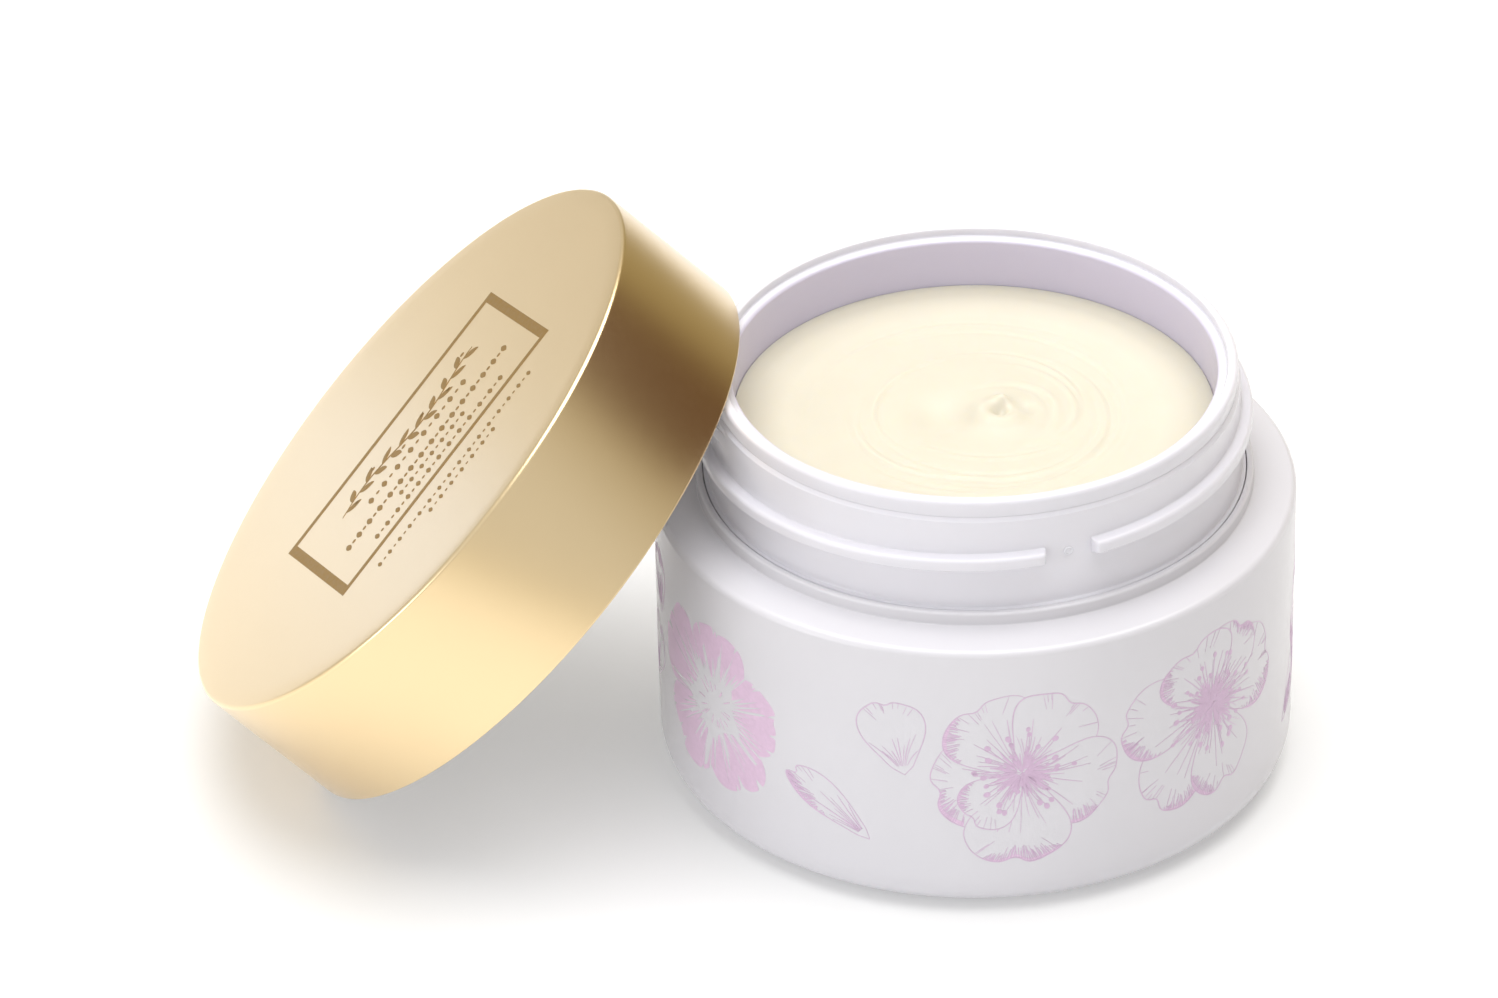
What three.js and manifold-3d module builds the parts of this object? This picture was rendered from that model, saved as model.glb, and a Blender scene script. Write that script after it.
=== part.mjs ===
// Cosmetic cream jar: white double-walled jar full of cream, gold screw lid leaning on its neck.
// Millimetres, +Z up. The origin is the middle of the jar's base, on the jar's axis.
import * as THREE from 'three';
import { mergeVertices } from 'three/addons/utils/BufferGeometryUtils.js';
import Module from 'manifold-3d';

const wasm = await Module();
wasm.setup();

// ---- driving dimensions ----
const SEGMENTS = 48;
const FIT_GAP = 0.3;

// Outer shell of the jar.
const BODY_R = 39.1;
const BODY_LOW_R = 38.7;
const BODY_WALL = 2.0;
const FOOT_FILLET_R = 5.2;
const SHOULDER_EDGE_R = 0.9;
const SHOULDER_EDGE_Z = 37.85;
const SHOULDER_IN_Z = 38.4;
const SHOULDER_CROWN = 0.1;
const SHOULDER_THICK = 2.2;
const COLLAR_R = 33.9;
const COLLAR_TOP_Z = 40.1;
const COLLAR_EDGE_R = 0.35;
const COLLAR_WALL = 0.65;
const LEDGE_DEPTH = 1.9;

// Disc that closes the shell from below.
const BASE_OPENING_R = 32.3;
const BASE_THICK = 2.0;
const CARRIER_R = 25.5;
const CARRIER_WALL = 1.5;

// Cup with the threaded neck.
const NECK_R = 32.2;
const NECK_ROOT_R = 32.4;
const FLANGE_R = COLLAR_R - COLLAR_WALL - FIT_GAP;
const CUP_OUT_R = 31.7;
const CUP_IN_R = 29.2;
const CUP_MOUTH_R = 29.4;
const CUP_BOTTOM_Z = 7.5;
const CUP_FLOOR = 1.6;
const CUP_FILLET_R = 4.0;
const LIP_R = 31.96;
const LIP_TOP_Z = 54.7;
const LIP_ROUND_R = 0.7;
const LIP_STEP_R = 30.6;
const LIP_STEP_Z = 53.65;
const LIP_STEP_ROUND_R = 0.45;
const LIP_CHAMFER_R = 0.35;
const LIP_CHAMFER_Z = 0.3;
const LIP_UNDERCUT_Z = 52.6;

// Thread on the neck: one start, with a gap where the mould halves meet.
const THREAD_LEAD = 4.5;
const THREAD_R = 33.65;
const THREAD_H = 1.7;
const THREAD_CREST_H = 1.2;
const THREAD_FLANK = 0.45;
const THREAD_TOP_Z = 47.45;
const THREAD_TOP_AZ = -91;
const THREAD_START_AZ = -196;
const THREAD_END_AZ = 203;
const THREAD_GAP_FROM_AZ = -77;
const THREAD_GAP_TO_AZ = -64.5;
const THREAD_TAPER_AZ = 16;
const THREAD_BLUNT_AZ = 1.2;
const THREAD_STEP_AZ = 7;
const THREAD_BITE = 0.4;
const THREAD_LEAST_SHARE = 0.02;

// Cream.
const CREAM_Z = 47.2;
const CREAM_EDGE_RISE = 0.35;
// Top of the cream inside its edge: [share of the radius, height over CREAM_Z], outside in.
const CREAM_TOP = [
  [0.95, -0.1],
  [0.7, -0.45],
  [0.4, -0.2],
  [0.17, 0.5],
  [0.07, 1.25],
  [0, 1.5],
];

// Gold overshell of the lid; lid heights are counted from the plane of its open rim.
const LID_R = 39.0;
const LID_H = 19.2;
const LID_EDGE_R = 0.5;
const LID_WALL = 1.1;
const LID_TOP_THICK = 0.7;
const LID_RIM_ROUND_R = 0.25;

// Threaded cap inside the overshell.
const CAP_IN_R = 34.25;
const CAP_WALL = 1.3;
const CAP_FLANGE_THICK = 1.2;
const CAP_RECESS = 1.2;
const CAP_MOUTH_CHAMFER = 0.25;
const CAP_ROOF_THICK = 0.8;
const CAP_ROOF_CHAMFER = 1.0;
const CAP_THREAD_R = 32.8;
const CAP_THREAD_H = 1.5;
const CAP_THREAD_CREST_H = 1.05;
const CAP_THREAD_Z = 6.6;
const CAP_THREAD_TURN_AZ = 330;
const RIB_COUNT = 12;
const RIB_THICK = 1.0;
const RIB_EDGE_GAP = 0.1;
const RIB_TOP_DROP = 2.0;

// Loose sealing disc.
const DISC_THICK = 0.7;

// How the lid leans: its rim stands on the table behind -X and its cap rests on the jar's lip.
const LEAN_DEG = 47.0;
const LEAN_FOOT_X = -81.45;

const WHITE = 0xe3e0e4;
const WHITE_INNER = 0xe0dde0;
const CREAM = 0xf8efd2;
const GOLD = 0xd9b878;
const SEAL = 0xf1efe9;

// ---- helpers ----
const rad = THREE.MathUtils.degToRad;

// Points of an arc in the profile plane, from angle a0 to a1 in degrees.
function arc(centreR, centreZ, radius, a0, a1, steps) {
  return Array.from({ length: steps + 1 }, (_, i) => {
    const a = rad(a0 + ((a1 - a0) * i) / steps);
    return [centreR + radius * Math.cos(a), centreZ + radius * Math.sin(a)];
  });
}

// Only positions, with shared vertices merged and empty triangles dropped.
function weld(geometry) {
  geometry.deleteAttribute('normal');
  geometry.deleteAttribute('uv');
  const merged = mergeVertices(geometry, 1e-4);
  const index = Array.from(merged.index.array);
  const kept = [];
  for (let i = 0; i < index.length; i += 3) {
    const [a, b, c] = index.slice(i, i + 3);
    if (a !== b && b !== c && c !== a) kept.push(a, b, c);
  }
  merged.setIndex(kept);
  return merged;
}

// Solid of revolution about Z from [radius, height] points running up the outside.
function turned(profile) {
  const points = profile.map(([r, z]) => new THREE.Vector2(Math.max(r, 0), z));
  const geometry = new THREE.LatheGeometry(points, SEGMENTS);
  geometry.rotateX(Math.PI / 2);
  return weld(geometry);
}

// A closed ring profile: the outline comes back to its first point.
function ring(outline) {
  return turned([...outline, outline[0]]);
}

function toSolid(geometry) {
  const vertProperties = new Float32Array(geometry.attributes.position.array);
  const triVerts = new Uint32Array(geometry.index.array);
  return new wasm.Manifold(new wasm.Mesh({ numProp: 3, vertProperties, triVerts }));
}

function fromSolid(solid) {
  const mesh = solid.getMesh();
  const geometry = new THREE.BufferGeometry();
  const positions = new THREE.BufferAttribute(new Float32Array(mesh.vertProperties), 3);
  geometry.setAttribute('position', positions);
  geometry.setIndex(new THREE.BufferAttribute(new Uint32Array(mesh.triVerts), 1));
  return geometry;
}

function joined(first, ...others) {
  return fromSolid(others.reduce((solid, g) => solid.add(toSolid(g)), toSolid(first)));
}

// A ridge that climbs round the Z axis. section(azimuth) gives its [radius, height] outline.
function helicalRidge(startAz, endAz, lead, zAtStart, section) {
  const steps = Math.max(2, Math.ceil((endAz - startAz) / THREAD_STEP_AZ));
  const positions = [];
  let corners = 0;
  for (let i = 0; i <= steps; i += 1) {
    const az = startAz + ((endAz - startAz) * i) / steps;
    const z0 = zAtStart + (lead * (az - startAz)) / 360;
    const outline = section(az);
    corners = outline.length;
    for (const [r, z] of outline) {
      positions.push(r * Math.cos(rad(az)), r * Math.sin(rad(az)), z0 + z);
    }
  }
  const index = [];
  for (let i = 0; i < steps; i += 1) {
    for (let k = 0; k < corners; k += 1) {
      const a = i * corners + k;
      const b = i * corners + ((k + 1) % corners);
      index.push(a, a + corners, b, b, a + corners, b + corners);
    }
  }
  const last = steps * corners;
  for (let k = 1; k < corners - 1; k += 1) {
    index.push(0, k, k + 1);
    index.push(last, last + k + 1, last + k);
  }
  const geometry = new THREE.BufferGeometry();
  geometry.setAttribute('position', new THREE.Float32BufferAttribute(positions, 3));
  geometry.setIndex(index);
  return geometry;
}

// Share of full height at an azimuth, rising from 0 over the taper at each end.
function taper(az, startAz, endAz, startTaper, endTaper) {
  const up = Math.min(1, (az - startAz) / startTaper);
  const down = Math.min(1, (endAz - az) / endTaper);
  return Math.max(THREAD_LEAST_SHARE, Math.min(up, down));
}

// ---- jar ----
function outerJar() {
  const inR = BODY_R - BODY_WALL;
  const inLowR = BODY_LOW_R - BODY_WALL;
  const footR = BODY_LOW_R - FOOT_FILLET_R;
  const ledgeR = CUP_OUT_R + FIT_GAP;
  const counterR = FLANGE_R + FIT_GAP;
  const ledgeZ = COLLAR_TOP_Z - LEDGE_DEPTH;
  const underZ = SHOULDER_EDGE_Z - SHOULDER_THICK;
  const collarEdgeR = COLLAR_R - COLLAR_EDGE_R;
  const edgeR = BODY_R - SHOULDER_EDGE_R;
  const crownR = (edgeR + COLLAR_R) / 2;
  const inFillet = FOOT_FILLET_R - BODY_WALL;
  return ring([
    [BASE_OPENING_R, 0],
    ...arc(footR, FOOT_FILLET_R, FOOT_FILLET_R, -90, 0, 6),
    ...arc(edgeR, SHOULDER_EDGE_Z - SHOULDER_EDGE_R, SHOULDER_EDGE_R, 0, 90, 4),
    [crownR, (SHOULDER_EDGE_Z + SHOULDER_IN_Z) / 2 + SHOULDER_CROWN],
    [COLLAR_R, SHOULDER_IN_Z],
    ...arc(collarEdgeR, COLLAR_TOP_Z - COLLAR_EDGE_R, COLLAR_EDGE_R, 0, 90, 2),
    [counterR, COLLAR_TOP_Z],
    [counterR, ledgeZ],
    [ledgeR, ledgeZ],
    [ledgeR, underZ],
    [inR - SHOULDER_EDGE_R, underZ],
    [inR, underZ - SHOULDER_EDGE_R],
    [inLowR, FOOT_FILLET_R],
    ...arc(footR, FOOT_FILLET_R, inFillet, 0, -90, 4).slice(1),
    [BASE_OPENING_R, BASE_THICK],
  ]);
}

function basePlate() {
  const carrierZ = CUP_BOTTOM_Z - FIT_GAP;
  const plateR = BASE_OPENING_R - FIT_GAP;
  return turned([
    [0, 0],
    [plateR, 0],
    [plateR, BASE_THICK],
    [CARRIER_R, BASE_THICK],
    [CARRIER_R, carrierZ],
    [CARRIER_R - CARRIER_WALL, carrierZ],
    [CARRIER_R - CARRIER_WALL, BASE_THICK],
    [0, BASE_THICK],
  ]);
}

function cupBody() {
  const flangeUnderZ = COLLAR_TOP_Z - LEDGE_DEPTH + FIT_GAP;
  const floorZ = CUP_BOTTOM_Z + CUP_FLOOR;
  const lipCentreR = LIP_R - LIP_ROUND_R;
  const lipCentreZ = LIP_TOP_Z - LIP_ROUND_R;
  const stepRoundR = CUP_MOUTH_R + LIP_STEP_ROUND_R;
  const outFilletR = CUP_FILLET_R + CUP_FLOOR;
  return turned([
    [0, CUP_BOTTOM_Z],
    ...arc(CUP_OUT_R - outFilletR, CUP_BOTTOM_Z + outFilletR, outFilletR, -90, 0, 4),
    [CUP_OUT_R, flangeUnderZ],
    [FLANGE_R, flangeUnderZ],
    [FLANGE_R, COLLAR_TOP_Z],
    [NECK_ROOT_R, COLLAR_TOP_Z],
    [NECK_R, LIP_UNDERCUT_Z - LIP_ROUND_R],
    [LIP_R, LIP_UNDERCUT_Z],
    ...arc(lipCentreR, lipCentreZ, LIP_ROUND_R, 0, 90, 4),
    [LIP_STEP_R + LIP_CHAMFER_R, LIP_TOP_Z],
    [LIP_STEP_R, LIP_TOP_Z - LIP_CHAMFER_Z],
    [LIP_STEP_R, LIP_STEP_Z],
    ...arc(stepRoundR, LIP_STEP_Z - LIP_STEP_ROUND_R, LIP_STEP_ROUND_R, 90, 180, 3),
    [CUP_IN_R, CREAM_Z],
    ...arc(CUP_IN_R - CUP_FILLET_R, floorZ + CUP_FILLET_R, CUP_FILLET_R, 0, -90, 4),
    [0, floorZ],
  ]);
}

function neckThread(startAz, endAz, startTaper, endTaper) {
  const zAtStart = THREAD_TOP_Z + (THREAD_LEAD * (startAz - THREAD_TOP_AZ)) / 360;
  const rootR = NECK_R - THREAD_BITE;
  return helicalRidge(startAz, endAz, THREAD_LEAD, zAtStart, (az) => {
    const share = taper(az, startAz, endAz, startTaper, endTaper);
    const crestR = NECK_R + (THREAD_R - NECK_R) * share;
    return [
      [rootR, 0],
      [crestR - THREAD_FLANK * share, 0],
      [crestR, -THREAD_FLANK * share],
      [crestR, -THREAD_CREST_H],
      [rootR, -THREAD_H],
    ].reverse();
  });
}

function innerCup() {
  return joined(
    cupBody(),
    neckThread(THREAD_START_AZ, THREAD_GAP_FROM_AZ, THREAD_TAPER_AZ, THREAD_BLUNT_AZ),
    neckThread(THREAD_GAP_TO_AZ, THREAD_END_AZ, THREAD_BLUNT_AZ, THREAD_TAPER_AZ),
  );
}

function creamFill() {
  const creamR = CUP_IN_R - FIT_GAP;
  const bottomZ = CUP_BOTTOM_Z + CUP_FLOOR + FIT_GAP;
  const filletCentreR = creamR - CUP_FILLET_R;
  return turned([
    [0, bottomZ],
    ...arc(filletCentreR, bottomZ + CUP_FILLET_R, CUP_FILLET_R, -90, 0, 4),
    [creamR, CREAM_Z + CREAM_EDGE_RISE],
    ...CREAM_TOP.map(([share, rise]) => [creamR * share, CREAM_Z + rise]),
  ]);
}

// ---- lid ----
function lidShell() {
  const inR = LID_R - LID_WALL;
  const inTopZ = LID_H - LID_TOP_THICK;
  const rimR = LID_RIM_ROUND_R;
  return turned([
    [0, LID_H],
    ...arc(LID_R - LID_EDGE_R, LID_H - LID_EDGE_R, LID_EDGE_R, 90, 0, 4),
    ...arc(LID_R - rimR, rimR, rimR, 0, -90, 2),
    ...arc(inR + rimR, rimR, rimR, -90, -180, 2),
    [inR, inTopZ],
    [0, inTopZ],
  ].reverse());
}

function capBody() {
  const flangeR = LID_R - LID_WALL - FIT_GAP;
  const wallR = CAP_IN_R + CAP_WALL;
  const roofTopZ = LID_H - LID_TOP_THICK - FIT_GAP;
  const roofZ = roofTopZ - CAP_ROOF_THICK;
  return turned([
    [0, roofTopZ],
    [wallR - CAP_ROOF_CHAMFER, roofTopZ],
    [wallR, roofTopZ - CAP_ROOF_CHAMFER],
    [wallR, CAP_RECESS + CAP_FLANGE_THICK],
    [flangeR, CAP_RECESS + CAP_FLANGE_THICK],
    [flangeR, CAP_RECESS],
    [CAP_IN_R + CAP_MOUTH_CHAMFER, CAP_RECESS],
    [CAP_IN_R, CAP_RECESS + CAP_MOUTH_CHAMFER],
    [CAP_IN_R, roofZ],
    [0, roofZ],
  ].reverse());
}

function capThread() {
  const endAz = CAP_THREAD_TURN_AZ;
  const rootR = CAP_IN_R + THREAD_BITE;
  return helicalRidge(0, endAz, THREAD_LEAD, CAP_THREAD_Z, (az) => {
    const share = taper(az, 0, endAz, THREAD_TAPER_AZ, THREAD_TAPER_AZ);
    const crestR = CAP_IN_R - (CAP_IN_R - CAP_THREAD_R) * share;
    return [
      [rootR, 0],
      [crestR + THREAD_FLANK * share, 0],
      [crestR, -THREAD_FLANK * share],
      [crestR, -CAP_THREAD_CREST_H],
      [rootR, -CAP_THREAD_H],
    ];
  });
}

function capRib(az) {
  const innerR = CAP_IN_R + CAP_WALL / 2;
  const outerR = LID_R - LID_WALL - FIT_GAP - RIB_EDGE_GAP;
  const bottomZ = CAP_RECESS + CAP_FLANGE_THICK / 2;
  const topZ = LID_H - LID_TOP_THICK - FIT_GAP - RIB_TOP_DROP;
  const rib = new THREE.BoxGeometry(outerR - innerR, RIB_THICK, topZ - bottomZ);
  rib.translate((outerR + innerR) / 2, 0, (topZ + bottomZ) / 2);
  rib.rotateZ(rad(az));
  return weld(rib);
}

function lidInnerCap() {
  const ribs = Array.from({ length: RIB_COUNT }, (_, i) => capRib((360 * i) / RIB_COUNT));
  return joined(capBody(), capThread(), ...ribs);
}

function lidSealDisc() {
  const roofZ = LID_H - LID_TOP_THICK - FIT_GAP - CAP_ROOF_THICK;
  const topZ = roofZ - FIT_GAP;
  const discR = CAP_IN_R - FIT_GAP;
  return turned([
    [0, topZ - DISC_THICK],
    [discR, topZ - DISC_THICK],
    [discR, topZ],
    [0, topZ],
  ]);
}

// ---- assembly ----
function piece(name, geometry, color, roughness, metalness) {
  const material = new THREE.MeshStandardMaterial({ color, roughness, metalness });
  const mesh = new THREE.Mesh(geometry, material);
  mesh.name = name;
  return mesh;
}

const jar = new THREE.Group();
jar.add(piece('outer_jar', outerJar(), WHITE, 0.3, 0));
jar.add(piece('base_plate', basePlate(), WHITE, 0.45, 0));
jar.add(piece('inner_cup', innerCup(), WHITE_INNER, 0.35, 0));
jar.add(piece('cream_fill', creamFill(), CREAM, 0.4, 0));

const lid = new THREE.Group();
lid.add(piece('lid_shell', lidShell(), GOLD, 0.35, 1));
lid.add(piece('lid_inner_cap', lidInnerCap(), WHITE_INNER, 0.45, 0));
lid.add(piece('lid_seal_disc', lidSealDisc(), SEAL, 0.7, 0));

// The rim's lowest point stands on the table; the lid's top looks up and away from the jar.
const lean = rad(LEAN_DEG);
const rimRise = LID_RIM_ROUND_R * (Math.sin(lean) + Math.cos(lean) - 1);
const rimCentreX = LEAN_FOOT_X + LID_R * Math.cos(lean);
const rimCentreZ = LID_R * Math.sin(lean) - rimRise;
lid.position.set(rimCentreX, 0, rimCentreZ);
lid.rotation.y = -lean;

const group = new THREE.Group();
group.add(jar);
group.add(lid);

export default group;
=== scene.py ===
"""Cosmetic cream jar with its screw lid leaning on the neck: fine surfaces, print and materials.

Metres, +Z up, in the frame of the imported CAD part. The constants repeat the CAD's dimensions in
millimetres, and every point is turned into metres where its mesh is made.
"""

import math
import random

import bmesh
import bpy
from mathutils import Matrix, Vector


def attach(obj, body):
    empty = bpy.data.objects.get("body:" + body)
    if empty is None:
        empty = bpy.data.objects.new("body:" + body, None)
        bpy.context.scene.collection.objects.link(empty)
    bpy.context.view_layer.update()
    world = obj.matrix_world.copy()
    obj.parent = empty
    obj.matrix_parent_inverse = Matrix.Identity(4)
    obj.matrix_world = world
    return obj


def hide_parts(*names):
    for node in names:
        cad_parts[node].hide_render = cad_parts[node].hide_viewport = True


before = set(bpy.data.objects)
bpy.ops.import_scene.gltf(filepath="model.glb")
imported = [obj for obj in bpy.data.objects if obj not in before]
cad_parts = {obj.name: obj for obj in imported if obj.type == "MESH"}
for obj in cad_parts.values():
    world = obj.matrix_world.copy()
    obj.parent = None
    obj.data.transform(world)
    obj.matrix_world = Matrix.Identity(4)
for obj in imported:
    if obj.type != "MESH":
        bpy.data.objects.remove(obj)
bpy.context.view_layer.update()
MM = 0.001

# ---- dimensions shared with the CAD, mm ----
FIT_GAP, SEEN_GAP = 0.3, 0.12
BODY_R, BODY_LOW_R, BODY_WALL, FOOT_R = 39.1, 38.7, 2.0, 5.2
EDGE_R, EDGE_Z = 0.9, 37.85
SHOULDER_IN_Z, SHOULDER_CROWN, SHOULDER_THICK = 38.4, 0.1, 2.2
COLLAR_R, COLLAR_TOP_Z, COLLAR_EDGE_R, LEDGE_DEPTH = 33.9, 40.1, 0.35, 1.9
BASE_OPENING_R, BASE_THICK, CARRIER_R, CARRIER_WALL = 32.3, 2.0, 25.5, 1.5
NECK_R, NECK_ROOT_R, FLANGE_R, CUP_OUT_R = 32.2, 32.4, 32.95, 31.7
CUP_IN_R, CUP_MOUTH_R, CUP_BOTTOM_Z, CUP_FLOOR, CUP_FILLET = 29.2, 29.4, 7.5, 1.6, 4.0
LIP_R, LIP_TOP_Z, LIP_ROUND, LIP_STEP_R, LIP_STEP_Z = 31.96, 54.7, 0.7, 30.6, 53.65
LIP_STEP_ROUND, LIP_CHAMFER_R, LIP_CHAMFER_Z, LIP_UNDERCUT_Z = 0.45, 0.35, 0.3, 52.6
LEAD, THREAD_R, THREAD_TOP_Z, THREAD_TOP_AZ = 4.5, 33.65, 47.45, -91.0
THREAD_START, THREAD_END, GAP_FROM, GAP_TO, TAPER_AZ = -196.0, 203.0, -73.6, -63.2, 16.0
CREAM_R, CREAM_Z, CREAM_BOTTOM_Z = 29.14, 47.2, 9.4
LID_R, LID_H, LID_EDGE_R, LID_WALL, LID_TOP, LID_RIM_R = 39.0, 19.2, 0.5, 1.1, 0.7, 0.25
CAP_IN_R, CAP_WALL, CAP_FLANGE, CAP_RECESS, CAP_CHAMFER = 34.25, 1.3, 1.2, 1.2, 0.25
CAP_ROOF, CAP_ROOF_CHAMFER, CAP_THREAD_R, CAP_THREAD_Z, CAP_TURN = 0.8, 1.0, 32.8, 6.6, 330.0
RIB_COUNT, RIB_THICK, RIB_EDGE_GAP, RIB_TOP_DROP = 12, 1.0, 0.1, 2.0
CAP_FLANGE_R, CAP_TOP_Z = LID_R - LID_WALL - FIT_GAP, LID_H - LID_TOP - FIT_GAP
DISC_THICK = 0.7
LEAN_DEG, LEAN_FOOT_X = 47.0, -81.45

# ---- how finely the surfaces are cut ----
AROUND = 240
ROUND_STEPS = 8
WELD = 0.002
BLUNT_AZ, BLUNT_CUTS = 0.9, (0.0, 0.04, 0.15, 0.35, 0.65, 1.0)  # a thread's rounded end
SHARP_DEG = 32.0

LEAN = math.radians(LEAN_DEG)
RIM_RISE = LID_RIM_R * (math.sin(LEAN) + math.cos(LEAN) - 1)
LID_TO_WORLD = (
    Matrix.Translation((
        (LEAN_FOOT_X + LID_R * math.cos(LEAN)) * MM, 0, (LID_R * math.sin(LEAN) - RIM_RISE) * MM,
    ))
    @ Matrix.Rotation(-LEAN, 4, "Y")
)


# ---- mesh helpers ----
def arc(centre_r, centre_z, radius, a0, a1, steps=ROUND_STEPS):
    """Points of an arc in the profile plane, from angle a0 to a1 in degrees."""
    angles = [math.radians(a0 + (a1 - a0) * i / steps) for i in range(steps + 1)]
    return [(centre_r + radius * math.cos(a), centre_z + radius * math.sin(a)) for a in angles]


def even(count, start=0.0):
    """Azimuths of a whole turn, both ends included."""
    return [start + 360 * i / count for i in range(count + 1)]


def in_scene(name, data):
    """A new object, linked to the scene."""
    thing = bpy.data.objects.new(name, data)
    bpy.context.scene.collection.objects.link(thing)
    return thing


def mesh_object(name, bm, material):
    """A new object made of a bmesh, which is freed."""
    mesh = bpy.data.meshes.new(name)
    bm.to_mesh(mesh)
    bm.free()
    mesh.materials.append(material)
    return in_scene(name, mesh)


def make_object(name, bm, material, body, replaces=(), to_world=None, sharp=SHARP_DEG):
    """Turns a bmesh in millimetres into a piece that rides on a body."""
    bmesh.ops.scale(bm, vec=(MM, MM, MM), verts=bm.verts)
    if to_world is not None:
        bm.transform(to_world)
    piece = mesh_object(name, bm, material)
    piece.data.polygons.foreach_set("use_smooth", [True] * len(piece.data.polygons))
    piece.data.set_sharp_from_angle(angle=math.radians(sharp))
    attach(piece, body)
    if replaces:
        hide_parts(*replaces)


def sweep(columns, closed=False):
    """A closed surface from columns of (x, y, z); the first and last are the same place."""
    bm = bmesh.new()
    grid = [[bm.verts.new(p) for p in column] for column in columns]
    rows = len(columns[0])
    last = rows if closed else rows - 1
    for left, right in zip(grid, grid[1:]):
        for k in range(last):
            n = (k + 1) % rows
            bm.faces.new((left[k], right[k], right[n], left[n]))
    bmesh.ops.remove_doubles(bm, verts=bm.verts, dist=WELD)
    bmesh.ops.dissolve_degenerate(bm, edges=bm.edges, dist=WELD / 4)
    bmesh.ops.recalc_face_normals(bm, faces=bm.faces)
    return bm


def on_circle(r, z, az):
    """The place at a radius, height and azimuth."""
    a = math.radians(az)
    return (r * math.cos(a), r * math.sin(a), z)


def turned(profile, closed=False, count=AROUND):
    """Solid of revolution from (radius, height) points; closed joins the last to the first."""
    return sweep([[on_circle(r, z, az) for r, z in profile] for az in even(count)], closed)


def unit(x):
    """Held between 0 and 1."""
    return min(1.0, max(0.0, x))


def smooth_step(x):
    x = unit(x)
    return x * x * (3 - 2 * x)


def hill(x, wide, y=0.0, wide_y=1.0):
    """A rounded hill of height 1, over a line or a plane."""
    return math.exp(-math.hypot(x / wide, y / wide_y) ** 2)


# ---- threads ----
# A thread's section over one lead: (height over its top face, share of its depth).
NECK_SECTION = [
    (-2.25, 0.0), (-2.1, 0.03), (-1.98, 0.1), (-1.88, 0.24), (-1.58, 0.88), (-1.46, 0.975),
    (-1.32, 1.0), (-0.48, 1.0), (-0.3, 0.98), (-0.14, 0.915), (-0.04, 0.815), (0.0, 0.69),
    (0.02, 0.3), (0.05, 0.14), (0.13, 0.04), (0.27, 0.0), (0.9, 0.0), (1.7, 0.0),
]
CAP_SECTION = [
    (-1.7, 0.0), (-1.58, 0.03), (-1.48, 0.1), (-1.08, 0.95), (-0.98, 1.0), (-0.48, 1.0),
    (-0.2, 0.95), (-0.05, 0.83), (0.0, 0.69), (0.02, 0.25), (0.1, 0.04), (0.24, 0.0),
    (1.0, 0.0), (1.9, 0.0),
]


def blunt(x):
    """Height share over a short rounded end, x from 0 to 1."""
    return math.sqrt(1 - (1 - unit(x)) ** 2)


def neck_share(turn):
    """Height share of the neck's thread at an azimuth counted on through its turns."""
    if not THREAD_START < turn < THREAD_END or GAP_FROM <= turn <= GAP_TO:
        return 0.0
    taper = smooth_step(min(turn - THREAD_START, THREAD_END - turn) / TAPER_AZ)
    to_end = GAP_FROM - turn if turn < GAP_FROM else turn - GAP_TO
    return min(taper, blunt(to_end / BLUNT_AZ))


def cap_share(turn):
    """The same for the cap's thread."""
    if not 0 < turn < CAP_TURN:
        return 0.0
    return smooth_step(min(turn, CAP_TURN - turn) / TAPER_AZ)


def thread_rows(az, section, top_z, top_az, share, wall_r, depth, z_lo, z_hi):
    """One column of a wall with a thread on it, between two heights, bottom to top.

    The rows climb with the thread, so that its edges stay sharp; those past either height
    gather there and are welded. A negative depth is a thread inside a hole.
    """
    rows = []
    first = math.floor((z_lo - top_z) / LEAD) - 2
    last = math.ceil((z_hi - top_z) / LEAD) + 2
    for period in range(first, last + 1):
        turn = az + 360 * period
        z0 = top_z + LEAD * (turn - top_az) / 360
        height = share(turn)
        for rise, part in section:
            z = min(z_hi, max(z_lo, z0 + rise))
            rows.append((wall_r(z) + depth * height * part, z))
    return [(r, z) if z_lo < z < z_hi else (wall_r(z), z) for r, z in rows]


def blunt_azimuths(azimuths, ends):
    """The azimuths with more of them round each blunt end: (azimuth, direction inward)."""
    wanted = set(round(a, 4) for a in azimuths)
    start = azimuths[0]
    for end, inward in ends:
        for share in BLUNT_CUTS:
            az = (end + inward * share * BLUNT_AZ - start) % 360 + start
            wanted.add(round(az, 4))
    return sorted(wanted)


# ---- jar ----
def body_r(z):
    """Radius of the jar's straight wall, which widens a little upwards."""
    share = (z - FOOT_R) / (EDGE_Z - EDGE_R - FOOT_R)
    return BODY_LOW_R + (BODY_R - BODY_LOW_R) * unit(share)


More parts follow.
